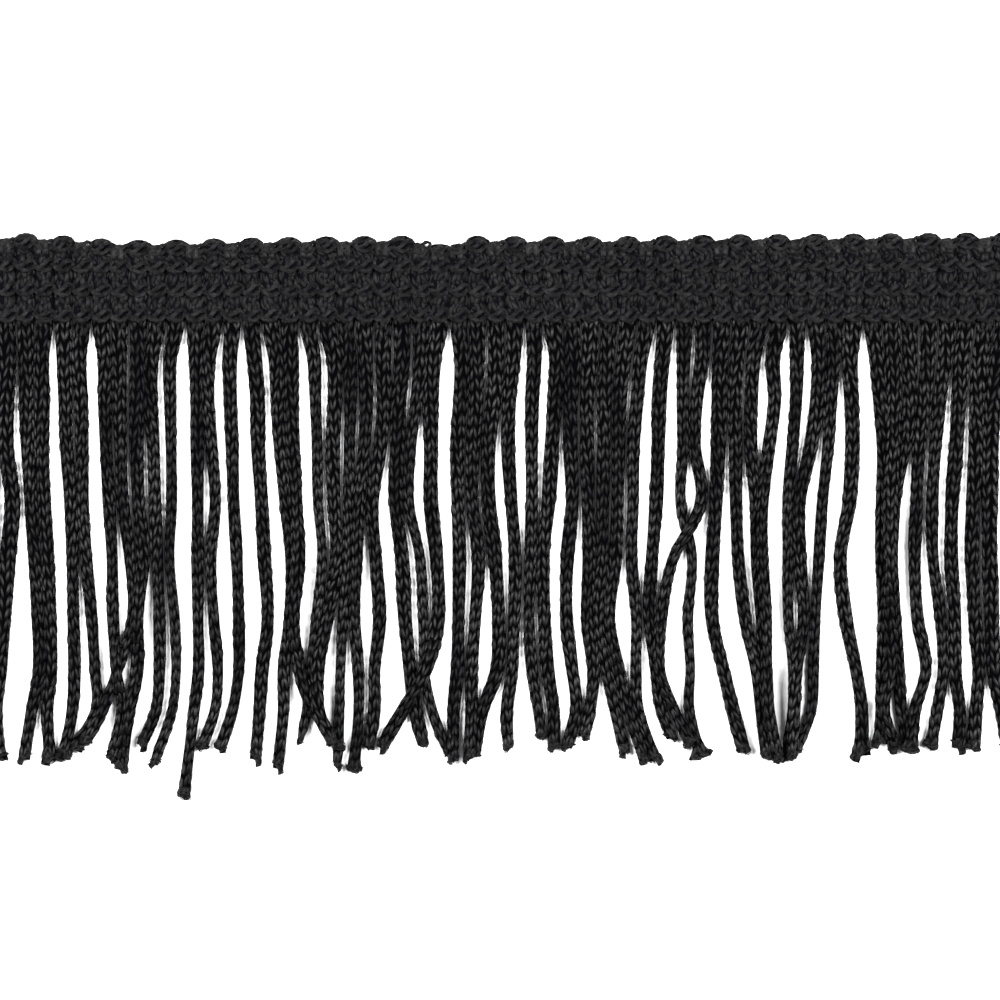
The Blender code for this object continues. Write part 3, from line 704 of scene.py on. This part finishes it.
def knit(fabric, cord, low, high, inner=False):
    """The knitted legs of a cord: at each stitch every column has two, side by side, closer at one end.

    The cord is knitted round and round, so each column's stitches lie a little further along than those of
    the column before it. Inner legs show between the others, and are made only where they face up.
    """
    places = leg_stations(cord, low, high)[:, None, None, None]
    column = (np.arange(COLUMNS) * TURN / COLUMNS)[None, :, None, None]
    hand = np.array([-1.0, 1.0])[None, None, :, None]
    share = np.linspace(0.0, 1.0, LEG_RINGS)[None, None, None, :]
    slip, turn, fullness, lift = rng.uniform(-1.0, 1.0, (4, len(places), COLUMNS, 2, 1))
    spiral = column / TURN * CHAINETTE_STITCH
    along = places + spiral + (share - 0.5) * LEG_LENGTH + LEG_SLIP * slip
    if inner:
        along = along + CHAINETTE_STITCH / 2
        column = column + TURN / COLUMNS / 2
    along = np.clip(along, 0.0, cord.length)
    spread = FOOT_SPREAD + (HEAD_SPREAD - FOOT_SPREAD) * share
    angle = cord.twist(along) + column + hand * spread + LEG_TURN * turn
    swell = np.sin(np.pi * share) ** LEG_ROUNDNESS
    proud = 1.0 - LEG_DIP * (1.0 - swell) + LEG_LIFT * (lift - 1)
    if inner:
        proud = proud * INNER_LEGS_SHARE
    centres = cord.surface(along, angle, proud, inset=LEG_THICKNESS / 2)
    outward = cord.outward(along, angle)
    size = (LEG_END_SHARE + (1 - LEG_END_SHARE) * swell) * (1 + LEG_FULLNESS * fullness)
    bloom = 1 + HEADING_LEG_BLOOM * cord.at(cord.in_heading, along)
    shape = (-1, LEG_RINGS, 3)
    centres = centres.reshape(shape)
    outward = outward.reshape(shape)
    size = size.reshape(-1, LEG_RINGS, 1)
    bloom = bloom.reshape(-1, LEG_RINGS, 1)
    if inner:
        seen = outward[:, LEG_RINGS // 2, 2] > INNER_LEGS_FACING
        centres, outward, size, bloom = centres[seen], outward[seen], size[seen], bloom[seen]
    centres[..., 2] = np.maximum(centres[..., 2] - pressed_down(centres), LEG_THICKNESS / 2)
    across, up = ring_axes(centres, outward)
    across = across * size * bloom * LEG_WIDTH / 2
    up = up * size * LEG_THICKNESS / 2
    fabric.tubes(centres, across, up, YARN, sides=LEG_SIDES, ends="pointed")


def line_hollow(fabric, cord, low, high, every):
    """A solid tube in the knitted tube's hollow, coloured as painted shade and seen between its legs, with a
    ring at every so many points.
    """
    inside = np.flatnonzero((cord.above >= low) & (cord.above < high))
    runs = np.split(inside, np.flatnonzero(np.diff(inside) > 1) + 1)
    for run in runs:
        if len(run) < 2:
            continue
        kept = np.append(run[:-1:every], run[-1])
        share = HOLLOW_SHARE + (HEADING_HOLLOW_SHARE - HOLLOW_SHARE) * cord.in_heading[kept]
        side = cord.side[kept] * (cord.half_width[kept] * share)[:, None]
        top = cord.top[kept] * (cord.half_height[kept] * HOLLOW_TOP_SHARE)[:, None]
        fabric.tubes(cord.points[kept][None], side[None], top[None], HOLLOW, sides=HOLLOW_SIDES)


def knob_lumps(share, round_angle):
    """The lumps of a melted tip: waves round it and along it, laid over one another."""
    lumps = np.zeros((KNOB_RINGS, KNOB_SIDES))
    for waves_round, rate_along in LUMP_WAVES:
        start_round, start_along = rng.uniform(0.0, TURN, 2)
        lumps += np.sin(waves_round * round_angle + start_round) * np.sin(rate_along * share + start_along)
    return lumps


def fuse_tips(fabric, cord):
    """The melted, matted end of each strand: a rough plug in the knit, cut a little aslant."""
    share = np.linspace(0.0, 1.0, KNOB_RINGS)[:, None]
    round_angle = (np.arange(KNOB_SIDES) * TURN / KNOB_SIDES)[None, :]
    neck = KNOB_NECK + (1 - KNOB_NECK) * ease(share / NECK_FILLS_OVER)
    dome = (1 - (np.clip(share - DOME_FROM, 0.0, 1.0) / DOME_REACH) ** 3) ** 0.6
    for end in range(len(cord.strands)):
        lumps = knob_lumps(share, round_angle)
        slant = KNOB_SLANT * np.cos(round_angle + rng.uniform(0.0, TURN))
        slant = slant + KNOB_SIDE_SLANT * rng.uniform(-1.0, 1.0) * np.cos(round_angle)
        slant = slant * ease(share / SLANT_GROWS_OVER)
        from_tip = KNOB_LENGTH * (1 - share ** 0.8) - KNOB_OVERHANG + slant
        from_tip = from_tip + KNOB_EDGE_LUMPS * lumps * share
        along = from_tip if end == 0 else cord.length - from_tip
        held = np.clip(along, 0.0, cord.length)
        body = neck * dome * (1 + KNOB_LUMPS * lumps * ease(share / LUMPS_GROW_OVER))
        # The rings turn the other way at the cord's first tip, so that the faces look outward there too
        hand = -1.0 if end == 0 else 1.0
        side = hand * cord.at(cord.half_width, held) * body * np.cos(round_angle)
        top = cord.at(cord.half_height, held) * body * np.sin(round_angle)
        points = (
            cord.at(cord.points, held)
            + (along - held)[..., None] * cord.at(cord.forward, held)
            + side[..., None] * cord.at(cord.side, held)
            + top[..., None] * cord.at(cord.top, held)
        )
        points[..., 2] = np.maximum(points[..., 2], KNOB_LOWEST)
        fabric.skin(points[None], FUSED)
        mat_filaments(fabric, points)


def mat_filaments(fabric, points):
    """Short filaments that lie over a fused tip every way, and a few that stand off its edge."""
    rings, sides = points.shape[:2]
    middle = points.mean(axis=(0, 1))
    ring = rng.integers(MATTED_FIRST_RING, rings - 1, MATTED_FILAMENTS)
    side = rng.integers(0, sides, MATTED_FILAMENTS)
    rings_on = rng.integers(-MATTED_REACH, MATTED_REACH + 1, MATTED_FILAMENTS)
    sides_on = rng.integers(-MATTED_REACH, MATTED_REACH + 1, MATTED_FILAMENTS)
    ring_after = np.clip(ring + rings_on, 1, rings - 1)
    side_after = (side + sides_on) % sides
    first = points[ring, side]
    # A hair's breadth on, so that a filament which comes back to its start still has a direction
    last = points[ring_after, side_after] + 0.001
    share = np.linspace(0.0, 1.0, MATTED_POINTS)[None, :, None]
    centres = first[:, None] + (last - first)[:, None] * share
    outward = unit(centres - middle)
    centres = centres + outward * (MATTED_LIFT + MATTED_ARCH * np.sin(np.pi * share))
    centres[..., 2] = np.maximum(centres[..., 2], MATTED_LOWEST)
    across, up = ring_axes(centres, outward)
    half = MATTED_FILAMENT / 2 * (0.5 + 0.5 * np.sin(np.pi * share) ** 0.5)
    # They are loose yarn, not melted, so they keep its gleam
    fabric.tubes(centres, across * half, up * half, YARN, sides=4, ends="pointed")


def row_sway(row, numbers):
    """How far a row of chain stitch rises at a stitch. The top row sags with the picot that lies flat."""
    sag = flattened_sag(numbers) * row.sway_share ** 4
    return row.sway_share * edge_rise(stitch_centre(numbers)) - sag


def crochet_row(fabric, row):
    """A row of chain stitch: slanted loops, each with its narrow end coming out of the loop before it."""
    angle = np.arange(LINK_POINTS) * TURN / LINK_POINTS
    lengthwise = np.cos(angle)
    sideways = np.sin(angle)
    narrow = 1 - LINK_NARROW_SHARE * ease(LINK_NARROW_FROM - lengthwise)
    slant = LINK_SLANT * np.sin(LINK_SLANT_RATE * (lengthwise - LINK_SLANT_CENTRE))
    head = ease((lengthwise - HEAD_FROM) / (1 - HEAD_FROM))
    base = ease((-lengthwise - BASE_FROM) / (1 - BASE_FROM))
    x = LINK_HALF_LENGTH * lengthwise
    y = row.fullness * LINK_HALF_DEPTH * sideways * narrow + slant
    z = LINK_TOP - HEAD_DIP * head - BASE_DIP * base
    numbers = np.arange(STRAND_COUNT)
    middle = stitch_centre(numbers) + rng.normal(0.0, LINK_STRAY, STRAND_COUNT)
    tilt = rng.normal(0.0, LINK_TILT, STRAND_COUNT)[:, None]
    link_x = x * np.cos(tilt) - y * np.sin(tilt)
    link_y = x * np.sin(tilt) + y * np.cos(tilt)
    sway = row_sway(row, numbers)
    height = rng.uniform(-LINK_RISE, LINK_RISE, STRAND_COUNT)
    centres = np.stack([
        middle[:, None] + link_x,
        FOOT_Y + row.above_foot + sway[:, None] + link_y,
        z[None, :] + height[:, None],
    ], axis=-1)
    centres[..., 0] = np.clip(centres[..., 0], -CUT_LENGTH / 2, CUT_LENGTH / 2)
    across, up = ring_axes(centres, UPWARDS, closed=True)
    fullness = CHAIN_END_FULLNESS + (1 - CHAIN_END_FULLNESS) * np.abs(sideways)
    half = (row.fullness * CHAIN_YARN / 2 * fullness)[None, :, None]
    fabric.tubes(centres, across * half, up * half * CHAIN_YARN_FLATNESS, YARN,
                 sides=LINK_SIDES, ends="joined", plied=True)


def bend(points, spacing):
    """A soft line through a list of points, in even steps."""
    points = np.asarray(points, dtype=float)
    apart = np.linalg.norm(np.diff(points, axis=0), axis=1)
    places = np.append(0.0, apart.cumsum())
    at = np.linspace(0.0, places[-1], int(places[-1] / spacing) + 2)
    return np.stack([smooth_values(at, places, points[:, k]) for k in range(3)], axis=1)


def back_row(fabric, row):
    """The chain's yarn as it crosses the back, in and out between the cords."""
    points = []
    for number in range(STRAND_COUNT):
        y = FOOT_Y + row.above_foot + row_sway(row, number)
        for share, up_the_trim, height in BACK_PLACES:
            points.append((stitch_centre(number) + share * STITCH, y + up_the_trim, height))
    line = bend(points, BACK_STEP)[None]
    across, up = ring_axes(line, UPWARDS)
    fabric.tubes(line, across * BACK_YARN / 2, up * BACK_YARN / 2, YARN, sides=6)


def turn_small_picots(fabric):
    """The small low loops of yarn at the edge, one at each odd stitch, between the turned cords."""
    numbers = np.array([n for n in range(STRAND_COUNT) if n % 2 or n == FLATTENED_PICOT])
    stray = rng.normal(0.0, LINK_STRAY, len(numbers))
    middle = (stitch_centre(numbers) + SMALL_TURN_SHIFT + stray)[:, None]
    top = np.array([picot_top(number) for number in numbers])[:, None]
    angle = np.linspace(np.pi, 0.0, SMALL_TURN_POINTS)
    drop = np.linspace(SMALL_TURN_HEIGHT, 0.0, SMALL_TURN_LEG_POINTS + 1)[:-1]
    leg = np.ones(SMALL_TURN_LEG_POINTS)
    x = middle + SMALL_TURN_RADIUS * np.concatenate([-leg, np.cos(angle), leg])
    y = np.concatenate([-drop, SMALL_TURN_RADIUS * np.sin(angle), -drop[::-1]])
    centre_above = top - SMALL_TURN_YARN / 2 - SMALL_TURN_RADIUS
    centres = np.stack([x, FOOT_Y + centre_above + y, np.full_like(x, SMALL_TURN_LEVEL)], axis=-1)
    across, up = ring_axes(centres, UPWARDS)
    half = SMALL_TURN_YARN / 2
    fabric.tubes(centres, across * half, up * half, YARN, plied=True)


def linear(hex_colour):
    """A linear colour from an sRGB hex value."""
    parts = [int(hex_colour[i:i + 2], 16) / 255 for i in (1, 3, 5)]
    return tuple(c / 12.92 if c <= 0.04045 else ((c + 0.055) / 1.055) ** 2.4 for c in parts) + (1.0,)


def add_node(tree, kind, inputs=None, **settings):
    """Adds a node with its settings. Each input takes a value or the output of another node."""
    node = tree.nodes.new(kind)
    for name, value in settings.items():
        setattr(node, name, value)
    for name, value in (inputs or {}).items():
        if isinstance(value, bpy.types.NodeSocket):
            tree.links.new(value, node.inputs[name])
        else:
            node.inputs[name].default_value = value
    return node


def new_material(name):
    """An empty material, with the tree for its nodes."""
    material = bpy.data.materials.new(name)
    material.use_nodes = True
    tree = material.node_tree
    tree.nodes.clear()
    return material, tree


def add_colours(tree, noise, stops):
    """Colours that follow a noise, from pairs of its value and a hex colour."""
    ramp = add_node(tree, "ShaderNodeValToRGB", {"Fac": noise.outputs["Fac"]})
    elements = ramp.color_ramp.elements
    while len(elements) < len(stops):
        elements.new(1.0)
    for element, (place, colour) in zip(elements, stops):
        element.position = place
        element.color = linear(colour)
    return ramp.outputs["Color"]


def add_range(tree, noise, low_and_high, wanted):
    """The values between a low and a high one of a noise, spread over the range that is wanted."""
    return add_node(tree, "ShaderNodeMapRange", {
        "Value": noise.outputs["Fac"], "From Min": low_and_high[0], "From Max": low_and_high[1],
        "To Min": wanted[0], "To Max": wanted[1],
    }).outputs["Result"]


def add_shader(tree, inputs):
    """The surface of a material."""
    shader = add_node(tree, "ShaderNodeBsdfPrincipled", inputs)
    add_node(tree, "ShaderNodeOutputMaterial", {"Surface": shader.outputs["BSDF"]})
    return shader


def rayon_yarn(name, colours, roughness, ridges, relief, gleams, streak):
    """Black viscose rayon in a soft yarn of many filaments, which lie along it and give it a silky gleam.

    The streaks of its gleam are given in millimetres, across the trim and along the strands.
    """
    material, tree = new_material(name)
    dark, light = colours
    streak_width, streak_length = streak
    yarn = add_node(tree, "ShaderNodeUVMap", uv_map="yarn")
    # Each leg starts at another place of this noise, so that no two are quite the same black
    patches = add_node(tree, "ShaderNodeTexNoise", {
        "Vector": yarn.outputs["UV"], "Scale": 1 / PATCH_LENGTH, "Detail": 2.0,
    })
    # Filaments are 0.02 mm thick, too fine to show, so they are drawn as a few ridges round the yarn. Bands
    # of scale 1 repeat 20 / TURN times in a unit of the map, and one unit is once round.
    filaments = add_node(tree, "ShaderNodeTexWave", {
        "Vector": yarn.outputs["UV"], "Scale": ridges * TURN / 20, "Distortion": 1.4, "Detail": 1.0,
        "Detail Scale": 0.6,
    }, wave_type="BANDS", bands_direction="X")
    bump = add_node(tree, "ShaderNodeBump", {
        "Height": filaments.outputs["Fac"], "Strength": relief, "Distance": RIDGE_DEPTH * MM,
    })
    # The gleam comes and goes in streaks of a few stitches, where the yarn is slacker or tighter
    place = add_node(tree, "ShaderNodeTexCoord")
    across_streak = 1 / (streak_width * MM)
    along_streak = 1 / (streak_length * MM)
    stretched = add_node(tree, "ShaderNodeMapping", {
        "Vector": place.outputs["Object"], "Scale": (across_streak, along_streak, across_streak),
    })
    streaks = add_node(tree, "ShaderNodeTexNoise", {
        "Vector": stretched.outputs["Vector"], "Scale": 1.0, "Detail": 1.5,
    })
    # Each leg gleams a little more or less than the ones beside it
    gleam = add_node(tree, "ShaderNodeMath", {
        0: add_range(tree, streaks, (0.32, 0.68), gleams),
        1: add_range(tree, patches, (0.30, 0.70), OWN_GLEAM),
    }, operation="MULTIPLY")
    shader = add_shader(tree, {
        "Base Color": add_colours(tree, patches, ((0.30, dark), (0.72, light))),
        "Roughness": roughness, "IOR": RAYON_IOR, "Specular IOR Level": gleam.outputs["Value"],
        "Sheen Weight": 0.01, "Sheen Roughness": 0.45, "Normal": bump.outputs["Normal"],
    })
    # An export drops the linked streaks, so the socket itself holds the middle of their range
    shader.inputs["Specular IOR Level"].default_value = sum(gleams) / 2
    return material


def shaded_hollow(name, dark, light):
    """Painted shade inside the knitted tube: a solid that fills its hollow, darker than the yarn for the
    light lost between the yarns, and dull all over.
    """
    material, tree = new_material(name)
    # This noise runs over the piece's own box in 2000 cells, finer than a pixel, so it only mixes two blacks
    noise = add_node(tree, "ShaderNodeTexNoise", {"Scale": 2000.0, "Detail": 1.0})
    add_shader(tree, {
        "Base Color": add_colours(tree, noise, ((0.3, dark), (0.7, light))),
        "Roughness": 0.95, "Specular IOR Level": 0.01,
    })
    return material


def fused_rayon():
    """Rayon ends matted together with heat and glue: dull, a little grey, and rough to the eye."""
    material, tree = new_material("fused_rayon_ends")
    place = add_node(tree, "ShaderNodeTexCoord")
    matting = add_node(tree, "ShaderNodeTexNoise", {
        "Vector": place.outputs["Object"], "Scale": 1 / (MATTING_GRAIN * MM), "Detail": 4.0,
        "Roughness": 0.65,
    })
    bump = add_node(tree, "ShaderNodeBump", {
        "Height": matting.outputs["Fac"], "Strength": 0.9, "Distance": MATTING_DEPTH * MM,
    })
    # The melted parts gleam a little, and the matted ones between them hardly at all
    shader = add_shader(tree, {
        "Base Color": add_colours(tree, matting, ((0.35, "#020203"), (0.60, "#060607"), (0.80, "#131315"))),
        "Roughness": 0.6, "IOR": RAYON_IOR,
        "Specular IOR Level": add_range(tree, matting, (0.42, 0.64), MATTED_GLEAMS),
        "Normal": bump.outputs["Normal"],
    })
    shader.inputs["Specular IOR Level"].default_value = sum(MATTED_GLEAMS) / 2
    return material


def pale_floor():
    """Smooth white card under the fringe: an even, matt white, with a cloudiness that is hardly seen."""
    material, tree = new_material("white_card")
    # This noise runs over the card's own box in 250 cells, which are 4.8 mm each
    fibres = add_node(tree, "ShaderNodeTexNoise", {"Scale": 250.0, "Detail": 2.0})
    add_shader(tree, {
        "Base Color": add_colours(tree, fibres, ((0.3, "#f6f6f6"), (0.7, "#fbfbfb"))),
        "Roughness": 0.9, "Specular IOR Level": 0.2,
    })
    return material


def build_strands(cords):
    """The strands, in pieces of a few cords each, down to their fused tips."""
    chainette = rayon_yarn(
        "black_rayon_chainette", colours=("#030304", "#08080a"), roughness=0.50,
        ridges=9, relief=0.4, gleams=(0.06, 0.24), streak=(1.5, 9),
    )
    # Painted shade: the tube in the strands' hollow is darker than the yarn, for the light lost inside the
    # cord
    hollow = shaded_hollow("shaded_hollow_of_cord", "#010101", "#030304")
    ends = fused_rayon()
    for piece, first in enumerate(range(0, len(cords), CORDS_IN_PIECE), start=1):
        fabric = Fabric()
        for cord in cords[first:first + CORDS_IN_PIECE]:
            knit(fabric, cord, -FAR, 0.0)
            line_hollow(fabric, cord, -FAR, HOLLOW_PAST_FOOT, STRAND_HOLLOW_EVERY)
            fuse_tips(fabric, cord)
        fabric.build(f"strands_{piece}", [chainette, hollow, ends], "fringe")


def build_heading_cords(cords):
    """The cords where they are squeezed together in the heading, and where they turn over as picots."""
    locked = rayon_yarn(
        "black_rayon_chainette_in_heading", colours=("#030304", "#08080a"), roughness=0.62,
        ridges=9, relief=0.5, gleams=(0.07, 0.16), streak=(0.7, 1.2),
    )
    # Painted shade for the tube in the heading's hollow, a little lighter than in the strands
    hollow = shaded_hollow("shaded_hollow_of_heading", "#030304", "#09090b")
    fabric = Fabric()
    for cord in cords:
        knit(fabric, cord, 0.0, FAR)
        knit(fabric, cord, 0.0, FAR, inner=True)
        line_hollow(fabric, cord, -HOLLOW_BELOW_FOOT, FAR, HEADING_HOLLOW_EVERY)
    fabric.build("heading_cords", [locked, hollow], "heading")


def build_crochet():
    """The crochet over the cords: the small picots and three rows on the heading, and a row at the foot."""
    crochet = rayon_yarn(
        "black_rayon_crochet_yarn", colours=("#040405", "#0a0a0c"), roughness=0.62,
        ridges=6, relief=0.9, gleams=(0.05, 0.23), streak=(0.5, 0.5),
    )
    fabric = Fabric()
    turn_small_picots(fabric)
    for row in HEADING_ROWS:
        crochet_row(fabric, row)
        back_row(fabric, row)
    fabric.build("heading_crochet", [crochet], "heading")
    fabric = Fabric()
    crochet_row(fabric, FOOT_ROW)
    back_row(fabric, FOOT_ROW)
    fabric.build("foot_chain", [crochet], "fringe")


def build_fringe_and_heading():
    """All the yarn of the trim."""
    strand_lines = lay_strands()
    cords = [Cord(first, strand_lines) for first in range(0, STRAND_COUNT, 2)]
    build_strands(cords)
    build_heading_cords(cords)
    build_crochet()


def lay_floor():
    """The card that the fringe lies on."""
    half = FLOOR_HALF_WIDTH
    corners = [(-half, -half, 0), (half, -half, 0), (half, half, 0), (-half, half, 0)]
    mesh = bpy.data.meshes.new("floor")
    mesh.from_pydata(corners, [], [(0, 1, 2, 3)])
    mesh.materials.append(pale_floor())
    add_object("floor", mesh)


def set_camera():
    """Straight above the fringe, as the photograph was taken."""
    data = bpy.data.cameras.new("camera")
    data.lens = LENS
    data.sensor_width = SENSOR
    camera = add_object("camera", data)
    distance = FRAME_WIDTH * LENS / SENSOR
    camera.location = (FRAME_MIDDLE[0] * MM, FRAME_MIDDLE[1] * MM, (distance + FACE_HEIGHT) * MM)
    data.clip_start = NEAREST
    data.clip_end = FARTHEST
    bpy.context.scene.camera = camera


def add_softbox(name, aside):
    """A wide, level lamp that shines straight down."""
    data = bpy.data.lights.new(name, "AREA")
    data.shape = "RECTANGLE"
    data.size, data.size_y = SOFTBOX_SIZE
    data.energy = SOFTBOX_POWER
    lamp = add_object(name, data)
    lamp.location = (aside, SOFTBOX_FORWARD, SOFTBOX_HEIGHT)


def set_light():
    """A bright, even studio: white all round, and a wide softbox to the left and to the right."""
    world = bpy.data.worlds.new("studio")
    bpy.context.scene.world = world
    world.use_nodes = True
    background = world.node_tree.nodes["Background"]
    background.inputs["Color"].default_value = (1.0, 1.0, 1.0, 1.0)
    background.inputs["Strength"].default_value = SURROUND_STRENGTH
    add_softbox("left_softbox", -SOFTBOX_ASIDE)
    add_softbox("right_softbox", SOFTBOX_ASIDE)
    bpy.context.scene.view_settings.view_transform = "Standard"


build_fringe_and_heading()
lay_floor()
set_camera()
set_light()
